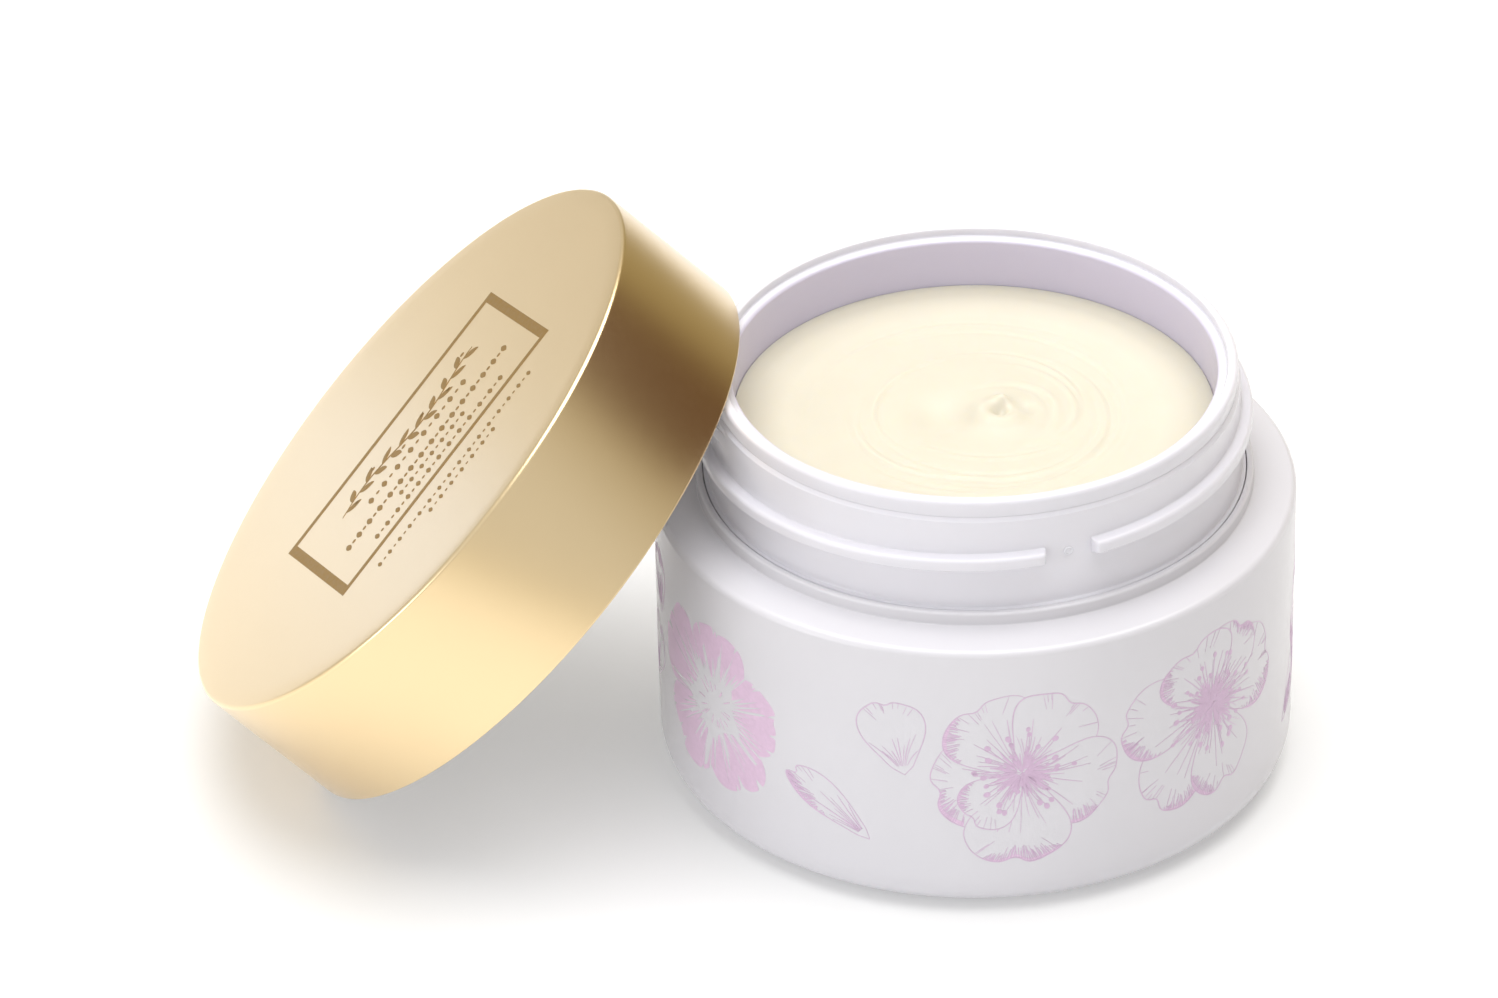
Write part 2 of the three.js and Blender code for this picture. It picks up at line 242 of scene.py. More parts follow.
def outer_jar_profile():
    """The white shell: foot, wall, shoulder, collar and the ledge under the cup's flange."""
    in_r, in_low_r = BODY_R - BODY_WALL, BODY_LOW_R - BODY_WALL
    foot_r = BODY_LOW_R - FOOT_R
    ledge_r, counter_r = CUP_OUT_R + FIT_GAP, FLANGE_R + SEEN_GAP
    ledge_z, under_z = COLLAR_TOP_Z - LEDGE_DEPTH, EDGE_Z - SHOULDER_THICK
    crown_r = (BODY_R - EDGE_R + COLLAR_R) / 2
    crown_z = (EDGE_Z + SHOULDER_IN_Z) / 2 + SHOULDER_CROWN
    root = 0.16
    return [
        (BASE_OPENING_R, 0.1), (BASE_OPENING_R + 0.1, 0.0),
        *arc(foot_r, FOOT_R, FOOT_R, -90, 0, 20),
        (body_r(16.0), 16.0), (body_r(27.0), 27.0),
        *arc(BODY_R - EDGE_R, EDGE_Z - EDGE_R, EDGE_R, 0, 84, 10),
        ((BODY_R - EDGE_R + crown_r) / 2, (EDGE_Z + crown_z) / 2 + 0.02),
        (crown_r, crown_z),
        ((crown_r + COLLAR_R) / 2, (crown_z + SHOULDER_IN_Z) / 2 + 0.02),
        (COLLAR_R + root * 1.6, SHOULDER_IN_Z + 0.01),
        (COLLAR_R + root * 0.5, SHOULDER_IN_Z + 0.05), (COLLAR_R, SHOULDER_IN_Z + root),
        *arc(COLLAR_R - COLLAR_EDGE_R, COLLAR_TOP_Z - COLLAR_EDGE_R, COLLAR_EDGE_R, 0, 90),
        (counter_r + 0.08, COLLAR_TOP_Z), (counter_r, COLLAR_TOP_Z - 0.08),
        (counter_r, ledge_z), (ledge_r, ledge_z), (ledge_r, under_z),
        (in_r - EDGE_R, under_z), (in_r, under_z - EDGE_R), (in_low_r, FOOT_R),
        *arc(foot_r, FOOT_R, FOOT_R - BODY_WALL, 0, -90, 10)[1:],
        (BASE_OPENING_R, BASE_THICK),
    ]


def base_plate_profile():
    """The disc under the jar, with a shallow groove round it and a dimple over its gate."""
    carrier_z = CUP_BOTTOM_Z - FIT_GAP
    plate_r = BASE_OPENING_R - FIT_GAP
    groove_r, groove_w, groove_z = 27.5, 0.6, 0.35
    dimple_r, dimple_z = 2.2, 0.3
    return [
        (0, dimple_z + 0.15), (0.5, dimple_z + 0.15), (0.6, dimple_z),
        (dimple_r - 0.2, dimple_z), (dimple_r, 0.0),
        (groove_r - groove_w, 0.0), (groove_r - groove_w / 2, groove_z),
        (groove_r + groove_w / 2, groove_z), (groove_r + groove_w, 0.0),
        (plate_r - 0.1, 0.0), (plate_r, 0.1), (plate_r, BASE_THICK),
        (CARRIER_R, BASE_THICK), (CARRIER_R, carrier_z), (CARRIER_R - CARRIER_WALL, carrier_z),
        (CARRIER_R - CARRIER_WALL, BASE_THICK), (0, BASE_THICK),
    ]


def cup_mesh():
    """The cup, with its threaded neck and stepped lip."""
    flange_under_z = COLLAR_TOP_Z - LEDGE_DEPTH + FIT_GAP
    floor_z = CUP_BOTTOM_Z + CUP_FLOOR
    out_fillet = CUP_FILLET + CUP_FLOOR
    top_z = LIP_UNDERCUT_Z - LIP_ROUND
    root_z = COLLAR_TOP_Z + 0.45
    step_r = CUP_MOUTH_R + LIP_STEP_ROUND
    below = [
        (0, CUP_BOTTOM_Z),
        *arc(CUP_OUT_R - out_fillet, CUP_BOTTOM_Z + out_fillet, out_fillet, -90, 0),
        (CUP_OUT_R, flange_under_z), (FLANGE_R, flange_under_z),
        (FLANGE_R, COLLAR_TOP_Z - 0.1), (FLANGE_R - 0.1, COLLAR_TOP_Z),
        (NECK_ROOT_R + 0.22, COLLAR_TOP_Z), (NECK_ROOT_R + 0.07, COLLAR_TOP_Z + 0.08),
        (NECK_ROOT_R, COLLAR_TOP_Z + 0.25),
    ]
    above = [
        (LIP_R - 0.12, LIP_UNDERCUT_Z - 0.16), (LIP_R - 0.02, LIP_UNDERCUT_Z + 0.06),
        *arc(LIP_R - LIP_ROUND, LIP_TOP_Z - LIP_ROUND, LIP_ROUND, 0, 90, 10),
        (LIP_STEP_R + LIP_CHAMFER_R, LIP_TOP_Z),
        (LIP_STEP_R + LIP_CHAMFER_R * 0.35, LIP_TOP_Z - LIP_CHAMFER_Z * 0.3),
        (LIP_STEP_R, LIP_TOP_Z - LIP_CHAMFER_Z),
        (LIP_STEP_R, LIP_STEP_Z + 0.12), (LIP_STEP_R - 0.12, LIP_STEP_Z),
        *arc(step_r, LIP_STEP_Z - LIP_STEP_ROUND, LIP_STEP_ROUND, 90, 180),
        (CUP_IN_R, CREAM_Z),
        *arc(CUP_IN_R - CUP_FILLET, floor_z + CUP_FILLET, CUP_FILLET, 0, -90),
        (0, floor_z),
    ]

    def wall_r(z):
        return NECK_ROOT_R + (NECK_R - NECK_ROOT_R) * (z - COLLAR_TOP_Z) / (top_z - COLLAR_TOP_Z)

    start = THREAD_TOP_AZ - 180
    columns = []
    for az in blunt_azimuths(even(AROUND, start), [(GAP_FROM, -1), (GAP_TO, 1)]):
        neck = thread_rows(
            az, NECK_SECTION, THREAD_TOP_Z, THREAD_TOP_AZ, neck_share, wall_r,
            THREAD_R - NECK_R, root_z, top_z,
        )
        columns.append([on_circle(r, z, az) for r, z in below + neck + above])
    return sweep(columns)


def mould_dot_mesh():
    """Small round pad between the thread's two ends, standing out from the neck."""
    dot_r, proud, bite, bevel, dish = 0.62, 0.14, 0.25, 0.1, 0.08
    z, az, taper = 46.75, (GAP_FROM + GAP_TO) / 2, 0.56  # taper: how much the neck has, so high up
    bm = turned([
        (0, -bite), (dot_r, -bite), (dot_r, proud - bevel), (dot_r - bevel, proud),
        (dot_r - 2 * bevel, proud), (dot_r - 2 * bevel - dish, proud - dish), (0, proud - dish),
    ], count=32)
    wall_r = NECK_ROOT_R + (NECK_R - NECK_ROOT_R) * taper
    bm.transform(
        Matrix.Rotation(math.radians(az), 4, "Z") @ Matrix.Translation((wall_r, 0, z))
        @ Matrix.Rotation(math.pi / 2, 4, "Y")
    )
    return bm


# ---- cream ----
# Rings left by the filling nozzle: centre x, y, radius, height, width, azimuth and spread of it.
CREAM_RINGS = [
    (0.2, 0.5, 12.2, 0.22, 0.42, 170, 75), (0.4, 0.7, 12.9, -0.20, 0.40, 40, 85),
    (2.6, 1.2, 9.9, -0.24, 0.46, 10, 95), (1.3, -0.4, 13.9, 0.22, 0.42, -60, 120),
    (1.5, -0.4, 14.9, -0.20, 0.36, -30, 110), (1.6, -0.5, 16.0, 0.17, 0.38, -50, 105),
    (0.6, -1.2, 16.6, 0.12, 0.40, -100, 70), (2.0, 0.6, 11.2, 0.15, 0.38, -80, 80),
    (-0.6, -0.6, 13.6, 0.17, 0.36, -150, 70), (-0.4, -0.2, 14.8, -0.15, 0.36, -130, 80),
    (3.2, -0.6, 6.6, 0.22, 0.70, 30, 120), (0.0, 0.6, 18.4, 0.10, 0.45, 60, 110),
    (0.2, 0.2, 20.6, -0.09, 0.50, 120, 100), (0.4, 0.0, 19.2, 0.09, 0.45, -70, 80),
]
# The curl: its place, the way it leans (an azimuth in radians, clockwise), and the hills and
# hollows round it: x and y from its place, height, half widths.
CREAM_CURL, CREAM_LEAN = (3.2, -0.8), 2.3
CREAM_HILLS = [
    (0, 0, 0.65, 4.4, 4.4), (0, 0, -1.25, 0.95, 1.3), (0.1, 2.2, 0.75, 0.9, 0.9),
    (2.8, 1.2, -0.55, 1.5, 1.5), (-7.2, -0.2, -1.30, 3.6, 4.0),
]


def cream_height(x, y):
    """Height of the cream over its level, mm, at a place on it."""
    # The whole surface climbs at the wall and swells in the middle.
    r = math.hypot(x, y) / CREAM_R
    z = 0.30 * smooth_step((r - 0.93) / 0.07) - 0.42 * hill(r - 0.68, 0.26)
    z += 0.42 * hill(r, 0.42)
    # The curl's lip is a ring round it, higher and wider on the side it leans to.
    px, py = x - CREAM_CURL[0], y - CREAM_CURL[1]
    lean = math.cos(math.atan2(py, px) + CREAM_LEAN)
    z += (0.42 + 0.28 * lean) * hill(math.hypot(px, py) - 2.2 - 0.4 * lean, 1.45)
    for hx, hy, height, wide_x, wide_y in CREAM_HILLS:
        z += height * hill(px - hx, wide_x, py - hy, wide_y)
    for cx, cy, radius, height, width, mid, spread in CREAM_RINGS:
        qx, qy = x - cx, y - cy
        off = (math.degrees(math.atan2(qy, qx)) - mid + 180) % 360 - 180
        fade = smooth_step(1 - abs(off) / spread)
        wander = radius + 0.22 * math.sin(math.radians(off) * 3 + radius)
        g = (math.hypot(qx, qy) - wander) / width
        z += height * fade * g * math.exp(0.5 - g * g) * 0.9
    return z


def cream_mesh():
    """The cream: its swirled top over a body that fills the cup."""
    side_z, fillet = CREAM_Z - 0.6, CUP_FILLET
    steps, around = 104, 216
    radii = [CREAM_R * i / steps for i in range(steps, 0, -1)] + [0.0]
    body = [
        (0, CREAM_BOTTOM_Z), *arc(CREAM_R - fillet, CREAM_BOTTOM_Z + fillet, fillet, -90, 0),
        (CREAM_R, side_z),
    ]
    columns = []
    for az in even(around):
        columns.append([on_circle(r, z, az) for r, z in body])
        for x, y, _ in (on_circle(r, 0, az) for r in radii):
            columns[-1].append((x, y, CREAM_Z + cream_height(x, y)))
    return sweep(columns)


# ---- lid ----
def lid_shell_profile():
    """The gold shell in the lid's own frame, its rim down."""
    in_r, in_top = LID_R - LID_WALL, LID_H - LID_TOP
    rim = LID_RIM_R
    return [
        (0, in_top), (in_r - 0.3, in_top), (in_r, in_top - 0.3),
        *arc(in_r + rim, rim, rim, 180, 270),
        *arc(LID_R - rim, rim, rim, -90, 0),
        *arc(LID_R - LID_EDGE_R, LID_H - LID_EDGE_R, LID_EDGE_R, 0, 90),
        (LID_R - 3.0, LID_H), (0, LID_H),
    ]


def cap_mesh():
    """The cap inside it: flange, threaded wall and roof, with ribs outside."""
    wall_out, roof_z = CAP_IN_R + CAP_WALL, CAP_TOP_Z - CAP_ROOF
    flange_top, bevel = CAP_RECESS + CAP_FLANGE, 0.15
    outside = [
        (0, CAP_TOP_Z), (wall_out - CAP_ROOF_CHAMFER, CAP_TOP_Z),
        (wall_out, CAP_TOP_Z - CAP_ROOF_CHAMFER), (wall_out, flange_top),
        (CAP_FLANGE_R, flange_top), (CAP_FLANGE_R, CAP_RECESS + bevel),
        (CAP_FLANGE_R - bevel, CAP_RECESS),
        (CAP_IN_R + CAP_CHAMFER, CAP_RECESS), (CAP_IN_R, CAP_RECESS + CAP_CHAMFER),
    ]
    roof = [(CAP_IN_R - 0.4, roof_z), (0, roof_z)]
    columns = []
    for az in even(AROUND, -10.0):
        wall = thread_rows(
            az, CAP_SECTION, CAP_THREAD_Z, 0.0, cap_share, lambda z: CAP_IN_R,
            CAP_THREAD_R - CAP_IN_R, CAP_RECESS + CAP_CHAMFER + 0.3, roof_z - 0.4,
        )
        columns.append([on_circle(r, z, az) for r, z in outside + wall + roof])
    bm = sweep(columns)
    for i in range(RIB_COUNT):
        add_rib(bm, 360 * i / RIB_COUNT)
    return bm


def add_rib(bm, az):
    """One rib outside the cap's wall: a plate with its outer top corner cut off."""
    inner_r, outer_r = CAP_IN_R + CAP_WALL / 2, CAP_FLANGE_R - RIB_EDGE_GAP
    low, high = CAP_RECESS + CAP_FLANGE / 2, CAP_TOP_Z - RIB_TOP_DROP
    cut = 0.8
    outline = [(inner_r, low), (outer_r, low), (outer_r, high - cut), (outer_r - cut, high),
               (inner_r, high)]
    turn = Matrix.Rotation(math.radians(az), 3, "Z")
    sides = [[bm.verts.new(turn @ Vector((r, y, z))) for r, z in outline]
             for y in (-RIB_THICK / 2, RIB_THICK / 2)]
    bm.faces.new(sides[0])
    bm.faces.new(reversed(sides[1]))
    for k in range(len(outline)):
        n = (k + 1) % len(outline)
        bm.faces.new((sides[0][n], sides[0][k], sides[1][k], sides[1][n]))


def seal_disc_profile():
    """The sealing disc, with the shallow ring that the jar's lip presses into it."""
    top_z = CAP_TOP_Z - CAP_ROOF - FIT_GAP
    low, disc_r, press = top_z - DISC_THICK, CAP_IN_R - FIT_GAP, 0.12
    return [
        (0, low), (LIP_STEP_R - 0.1, low), (LIP_STEP_R + 0.2, low + press),
        (LIP_R - 0.5, low + press), (LIP_R - 0.1, low), (disc_r - 0.1, low), (disc_r, low + 0.1),
        (disc_r, top_z - 0.1), (disc_r - 0.1, top_z), (0, top_z),
    ]


# ---- line work, drawn flat in mm and laid on a surface as thin closed strips ----
def placed(x, y, centre, turn):
    """A flat place turned by an angle and carried to a centre."""
    c, s = math.cos(turn), math.sin(turn)
    return (centre[0] + x * c - y * s, centre[1] + x * s + y * c)


def between(a, b, k, steps):
    """The place k steps of the way from a to b."""
    return (a[0] + (b[0] - a[0]) * k / steps, a[1] + (b[1] - a[1]) * k / steps)


class Artwork:
    """Strokes and filled patches in a plane, laid on a surface by place(u, v, height).

    Filled patches may go to another artwork, fills, that has an ink of its own.
    """

    def __init__(self, place, proud, sunk, spacing, fills=None):
        self.place, self.proud, self.sunk, self.spacing = place, proud, sunk, spacing
        self.fills = fills or self
        self.bm = bmesh.new()
        self.count = 0

    def strip(self, left, right):
        """A closed strip between two edges of as many (u, v) points."""
        self.count += 1
        top = self.proud * (1 + 0.04 * (self.count % 11))  # crossing strokes don't share a height
        sides = [
            [self.bm.verts.new(self.place(u, v, h)) for u, v in edge]
            for edge, h in ((left, top), (right, top), (right, -self.sunk), (left, -self.sunk))
        ]
        for i in range(len(left) - 1):
            for a, b in zip(sides, sides[1:] + sides[:1]):
                self.bm.faces.new((a[i], b[i], b[i + 1], a[i + 1]))
        self.bm.faces.new([side[0] for side in reversed(sides)])
        self.bm.faces.new([side[-1] for side in sides])

    def stroke(self, points, width, ends=0.15):
        """A pen line: it thins towards its ends to a share of its width."""
        points = resample(points, self.spacing)
        if len(points) < 2:
            return
        left, right = [], []
        last = len(points) - 1
        for i, (u, v) in enumerate(points):
            du = points[min(i + 1, last)][0] - points[max(i - 1, 0)][0]
            dv = points[min(i + 1, last)][1] - points[max(i - 1, 0)][1]
            length = math.hypot(du, dv) or 1.0
            swell = math.sin(math.pi * (i + 0.4) / (last + 0.8)) ** 0.6
            half = width / 2 * (ends + (1 - ends) * swell)
            left.append((u - dv / length * half, v + du / length * half))
            right.append((u + dv / length * half, v - du / length * half))
        self.strip(left, right)

    def patch(self, inner, outer, rows):
        """A filled patch between two edges, as a grid that follows the surface."""
        self.count += 1
        n = len(inner)
        top, low = (
            [[self.bm.verts.new(self.place(*between(a, b, k, rows), h)) for k in range(rows + 1)]
             for a, b in zip(inner, outer)]
            for h in (self.proud, -self.sunk)
        )
        for i in range(n - 1):
            for k in range(rows):
                self.bm.faces.new((top[i][k], top[i][k + 1], top[i + 1][k + 1], top[i + 1][k]))
                self.bm.faces.new((low[i][k], low[i + 1][k], low[i + 1][k + 1], low[i][k + 1]))
            for k in (0, rows):
                self.bm.faces.new((top[i][k], top[i + 1][k], low[i + 1][k], low[i][k]))
        for i in (0, n - 1):
            for k in range(rows):
                self.bm.faces.new((top[i][k], top[i][k + 1], low[i][k + 1], low[i][k]))

    def dot(self, u, v, radius, stretch=1.0, turn=0.0):
        """A filled round or seed-shaped dot."""
        ring, sides = [], 10
        for i in range(sides):
            a = 2 * math.pi * i / sides
            ring.append(placed(radius * stretch * math.cos(a), radius * math.sin(a), (u, v), turn))
        upper = ring[:sides // 2 + 1]
        lower = ring[:1] + ring[:sides // 2 - 1:-1]
        self.patch(lower, upper, 2)

    def finish(self):
        weld = 1e-5
        bmesh.ops.remove_doubles(self.bm, verts=self.bm.verts, dist=weld)
        bmesh.ops.recalc_face_normals(self.bm, faces=self.bm.faces)
        return self.bm


def resample(points, spacing):
    """The same line with its points at most so far apart."""
    out = [points[0]]
    for a, b in zip(points, points[1:]):
        steps = max(1, math.ceil(math.dist(a, b) / spacing))
        out += [between(a, b, i, steps) for i in range(1, steps + 1)]
    return out


def inside(point, polygon):
    """Whether a point lies in a polygon."""
    u, v = point
    hit = False
    for (u0, v0), (u1, v1) in zip(polygon, polygon[1:] + polygon[:1]):
        if (v0 > v) != (v1 > v) and u < (u1 - u0) * (v - v0) / (v1 - v0) + u0:
            hit = not hit
    return hit


def unhidden(points, covers):
    """The runs of a line that no cover hides, found finely and kept at every third point."""
    runs, run, fine = [], [], 0.2
    for p in resample(points, fine):
        if any(inside(p, cover) for cover in covers):
            if len(run) > 2:
                runs.append(run)
            run = []
        else:
            run.append(p)
    if len(run) > 2:
        runs.append(run)
    return [run[:-1:3] + run[-1:] for run in runs]


class Petal:
    """A petal from the flower's heart outwards, with a ruffled edge and a notch in its tip."""

    START, TIP, MIDDLE = 0.10, 0.985, 0.52  # shares of its length
    RUFFLE, NOTCH = 0.012, 0.08

    def __init__(self, rng, centre, turn, length, width, bend):
        self.centre, self.turn = centre, math.radians(turn)
        self.length, self.width, self.bend = length, width, bend
        self.waves = [(rng.uniform(0.4, 1.0), rng.uniform(0, 6.3)) for _ in range(3)]

    def point(self, along, across):
        """A place on it: along from 0 at the heart to 1 at the tip, across from -1 to 1."""
        x = along * self.length
        half = self.width / 2 * (0.16 + 0.84 * math.sin(math.pi * min(along, 1) * 0.56) ** 1.3)
        y = across * half + self.bend * self.length * along ** 2
        return placed(x, y, self.centre, self.turn)

    def edge_place(self, share):
        """Along and across of the edge: share runs from 0 up one side, over the tip, to 1."""
        a = math.pi * share
        across = -math.cos(a)
        reach = math.sin(a) ** 0.62
        ruffle = sum(amp * math.sin((k + 2) * 2.1 * a + phase)
                     for k, (amp, phase) in enumerate(self.waves))
        along = self.START + (self.TIP - self.START) * reach + self.RUFFLE * ruffle * reach
        return along - self.NOTCH * hill(across, 0.16), across

    def edge(self, share, depth=0.0):
        """A place on the edge, or inward of it by a share of the way to the petal's middle."""
        along, across = self.edge_place(share)
        return self.point(along + (self.MIDDLE - along) * depth, across * (1 - depth))

    def outline(self):
        steps = 44
        return [self.edge(i / steps) for i in range(steps + 1)]


def visible(line, covers):
    """Whether no cover hides any point of a line."""
    return not any(inside(p, cover) for p in line for cover in covers)


PEN = 0.135
FOLD_FILL = 0.4  # how much of a turned edge is filled; hatching makes the rest
HATCHES = 125  # to a whole outline


def shade_edge(art, rng, petal, covers, fold):
    """A turned edge: a filled crescent along part of the outline, with hatching inside it."""
    first, last, depth = fold
    run, steps, inset = [], 26, 0.015
    for i in range(steps + 1):
        share = first + (last - first) * i / steps
        swell = math.sin(math.pi * (i + 0.3) / (steps + 0.6)) ** 0.8
        pair = (petal.edge(share, inset), petal.edge(share, inset + depth * FOLD_FILL * swell))
        seen = visible(pair, covers)
        if seen:
            run.append(pair)
        if i == steps or not seen:
            if len(run) > 2:
                art.fills.patch([a for a, _ in run], [b for _, b in run], 2)
            run = []
    hatches = round(HATCHES * (last - first))
    for i in range(hatches):
        share = first + (last - first) * (i + rng.uniform(0, 1)) / hatches
        swell = math.sin(math.pi * (share - first) / (last - first))
        far = depth * (0.6 + rng.uniform(0.3, 1.9) * swell)
        lean = rng.uniform(-0.012, 0.012)
        line = [petal.edge(share + lean * k / 4, far * k / 4) for k in range(5)]
        if visible(line, covers):
            art.stroke(line, PEN * rng.uniform(0.7, 1.0))


def draw_petal(art, rng, petal, covers, folds, veins=11, loose=False):
    """Outline, veins from the heart and the tip, and shaded folds along the edge."""
    def draw(line, low, high, ends=0.15):
        for run in unhidden(line, covers):
            art.stroke(run, PEN * rng.uniform(low, high), ends)

    foot = [petal.point(0.0, 0.0)] if loose else []
    draw(foot + petal.outline() + foot, 0.85, 1.15, 0.5)
    for i in range(veins):
        across = -0.86 + 1.72 * (i + rng.uniform(-0.25, 0.25)) / (veins - 1)
        reach = rng.uniform(0.34, 0.78) * (1 - 0.35 * abs(across))
        draw([petal.point(0.12 + (reach - 0.12) * k / 8, across * (0.5 + 0.5 * k / 8))
              for k in range(9)], 0.5, 0.95)
    for _ in range(veins):
        share, far = rng.uniform(0.24, 0.76), rng.uniform(0.12, 0.42)
        draw([petal.edge(share, 0.02 + far * k / 5) for k in range(6)], 0.4, 0.6)
    for fold in folds:
        shade_edge(art, rng, petal, covers, fold)


def draw_heart(art, rng, centre, radius, stamens):
    """The flower's heart: hatched rays, and stamens that each end in a seed-shaped dot."""
    def ray(turn, start, reach, bend):
        return [placed(r, 0, centre, turn + bend * r / radius)
                for r in (start + (reach - start) * k / 5 for k in range(6))]

    for _ in range(stamens * 4):
        line = ray(rng.uniform(0, 2 * math.pi), radius * rng.uniform(0.0, 0.22),
                   radius * rng.uniform(0.34, 0.72), rng.uniform(-0.3, 0.3))
        art.stroke(line, PEN * rng.uniform(0.9, 2.4))
    for i in range(stamens):
        turn = 2 * math.pi * (i + rng.uniform(-0.4, 0.4)) / stamens
        line = ray(turn, radius * 0.15, radius * rng.uniform(0.62, 1.12), rng.uniform(-0.4, 0.4))
        art.stroke(line, PEN * 0.75, 0.6)
        art.dot(*line[-1], rng.uniform(0.24, 0.38), 1.25, turn)
    for _ in range(stamens // 2):
        turn, r = rng.uniform(0, 2 * math.pi), radius * rng.uniform(0.3, 0.6)
        art.dot(*placed(r, 0, centre, turn), rng.uniform(0.2, 0.3), 1.2, turn)


def draw_blossom(art, rng, centre, petals, stamens, heart):
    """A line blossom. petals: (turn, length, width, bend, folds), those on top last."""
    shapes = [Petal(rng, centre, turn, length, width, bend)
              for turn, length, width, bend, _ in petals]
    outlines = [shape.outline() for shape in shapes]
    for i, (shape, petal) in enumerate(zip(shapes, petals)):
        draw_petal(art, rng, shape, outlines[i + 1:], petal[4])
    draw_heart(art, rng, centre, heart, stamens)


def draw_solid_blossom(art, rng, centre, petals):
    """A blossom of filled petals round a ragged white heart: (turn, length, half angle).

    White rays run out from the heart into each petal, and a few short cuts run in from its edge.
    """
    for turn, length, spread in petals:
        rays = [(rng.uniform(-0.95, 0.95) * spread, rng.uniform(1.4, 3.4), rng.uniform(0.08, 0.36))
                for _ in range(17)]
        rays += [(rng.uniform(-0.9, 0.9) * spread, 1.3, rng.uniform(0.4, 0.62)) for _ in range(5)]
        cuts = [(rng.uniform(-0.8, 0.8) * spread, rng.uniform(0.9, 1.8), rng.uniform(0.05, 0.16))
                for _ in range(5)]
        waves = [(rng.uniform(0.006, 0.02), rng.uniform(3, 9), rng.uniform(0, 6.3))
                 for _ in range(3)]
        inner, outer, steps = [], [], 84
        for k in range(steps + 1):
            offset = spread * (2 * k / steps - 1)
            side = abs(offset) / spread
            start = 0.31 + 0.14 * side ** 2 + rng.uniform(0, 0.015)
            for place, width, depth in rays:
                start += depth * max(0.0, 1 - abs(offset - place) / width) ** 1.4
            edge = 1 - 0.19 * side ** 3.4 - 0.045 * hill(side, 0.12)
            edge += sum(amp * math.sin(rate * offset / spread + phase)
                        for amp, rate, phase in waves)
            for place, width, depth in cuts:
                edge -= depth * max(0.0, 1 - abs(offset - place) / width)
            start = min(start, edge - 0.06)
            a = math.radians(turn + offset)
            inner.append(placed(length * start, 0, centre, a))
            outer.append(placed(length * edge, 0, centre, a))
        art.patch(inner, outer, 8)
        # A few pen strokes stand loose in the white heart.
        for _ in range(4):
            a = math.radians(turn + rng.uniform(-0.9, 0.9) * spread)
            near, far = rng.uniform(0.12, 0.2) * length, rng.uniform(0.24, 0.33) * length
            art.stroke([placed(r, 0, centre, a) for r in (near, (near + far) / 2, far)], 0.14)


# ---- materials ----
def new_material(name):
    """A material with its node tree, its shader and its object coordinates."""
    material = bpy.data.materials.new(name)
    material.use_nodes = True
    tree = material.node_tree
    shader = next(n for n in tree.nodes if n.type == "BSDF_PRINCIPLED")
    return material, tree, shader, add(tree, "ShaderNodeTexCoord").outputs["Object"]


def add(tree, kind, inputs=None, **settings):
    """A new node with its settings and inputs."""
    node = tree.nodes.new(kind)
    for key, value in settings.items():
        setattr(node, key, value)
    feed(tree, node, inputs or {})
    return node


def feed(tree, node, inputs):
    """Links a node's inputs to sockets, or sets them to values."""
    for key, value in inputs.items():
        if isinstance(value, bpy.types.NodeSocket):
            tree.links.new(value, node.inputs[key])
        else:
            node.inputs[key].default_value = value


def noise(tree, where, scale, detail, roughness=0.5):
    """A noise pattern; scale is in cells to a metre."""
    node = add(tree, "ShaderNodeTexNoise",
               {"Vector": where, "Scale": scale, "Detail": detail, "Roughness": roughness})
    return node.outputs["Fac"]


def remap(tree, value, low, high, from_low=0.3, from_high=0.7, **settings):
    """A value carried from one range to another; noise lies mostly between 0.3 and 0.7."""
    node = add(tree, "ShaderNodeMapRange", {
        "Value": value, "From Min": from_low, "From Max": from_high, "To Min": low, "To Max": high,
    }, **settings)
    return node.outputs["Result"]


def mixed(tree, factor, a, b):
    """A colour from a to b, each of them a socket or red, green and blue."""
    a, b = (c if isinstance(c, bpy.types.NodeSocket) else (*c, 1) for c in (a, b))
    node = add(tree, "ShaderNodeMix", {"Factor": factor, "A": a, "B": b}, data_type="RGBA")
    return node.outputs["Result"]


def tint(colour, factor):
    return tuple(c * factor for c in colour)


def drifting(tree, pattern, colour, low, high):
    """A colour that drifts between two tints of itself along a pattern."""
    return mixed(tree, remap(tree, pattern, 0, 1), tint(colour, low), tint(colour, high))


def beyond(tree, where, near, far):
    """A share from 0 to 1 between two distances from the upright axis, in metres."""
    flat = add(tree, "ShaderNodeVectorMath", {0: where, 1: (1, 1, 0)}, operation="MULTIPLY")
    radius = add(tree, "ShaderNodeVectorMath", {0: flat.outputs[0]}, operation="LENGTH")
    return remap(tree, radius.outputs["Value"], 0, 1, near, far)


def relief(tree, shader, pattern, strength, depth, **settings):
    """Bumps along a pattern, depth in metres."""
    bump = add(tree, "ShaderNodeBump",
               {"Strength": strength, "Distance": depth, "Height": pattern}, **settings)
    tree.links.new(bump.outputs["Normal"], shader.inputs["Normal"])


# Strength and depth of each finish's relief.
PLASTIC_RELIEF, GOLD_RELIEF = (0.35, 2e-6), (0.3, 2e-6)
CREAM_RELIEF, FOAM_RELIEF = (0.5, 1e-5), (0.5, 6e-5)
# Painted shade: inside these radii the cup takes a darker, lilac well colour.
PAINTED_WELL_SHADE_R = (29.35 * MM, 29.95 * MM)  # from the cup's inner wall to its mouth
# Painted shade: the cream's colour darkens towards the cup's wall, where the wall shades it.
CREAM_PAINTED_SHADE_R = (23 * MM, 28.5 * MM)  # where the cream darkens towards the cup
CREAM_PAINTED_SHADE_TINT = 0.84


